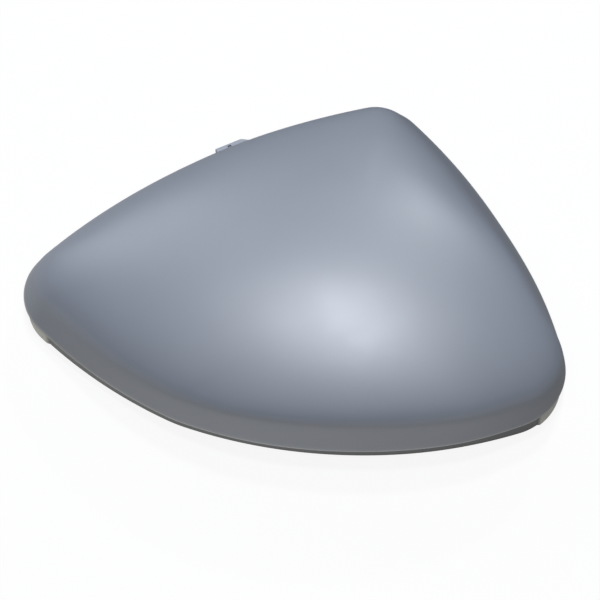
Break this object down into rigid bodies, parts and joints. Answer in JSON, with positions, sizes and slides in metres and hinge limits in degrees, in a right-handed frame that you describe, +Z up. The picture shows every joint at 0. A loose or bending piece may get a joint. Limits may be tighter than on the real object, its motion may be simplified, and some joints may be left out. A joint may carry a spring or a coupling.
{
  "type": "wing mirror cover",
  "caption": "Clip-on wing mirror cover: a double-curved moulded shell with a crease over the near wall, a stepped lip round the rim, snap hooks and locating pins inside.",
  "frame": {"origin": "middle of the bounding box's bottom face, in the plane that the foot of the lip rests on", "axes": "+X along the cover, from the narrow tip to the outboard corner; +Y away from the viewer, towards the edge with the tab; +Z up, out of the crown"},
  "size_m": [0.225, 0.1712, 0.055],
  "materials": {
    "primed_moulding": "satin blue-grey primer over moulded plastic"
  },
  "bodies": {
    "root": {"mirror_cover": "primed_moulding"}
  },
  "joints": []
}
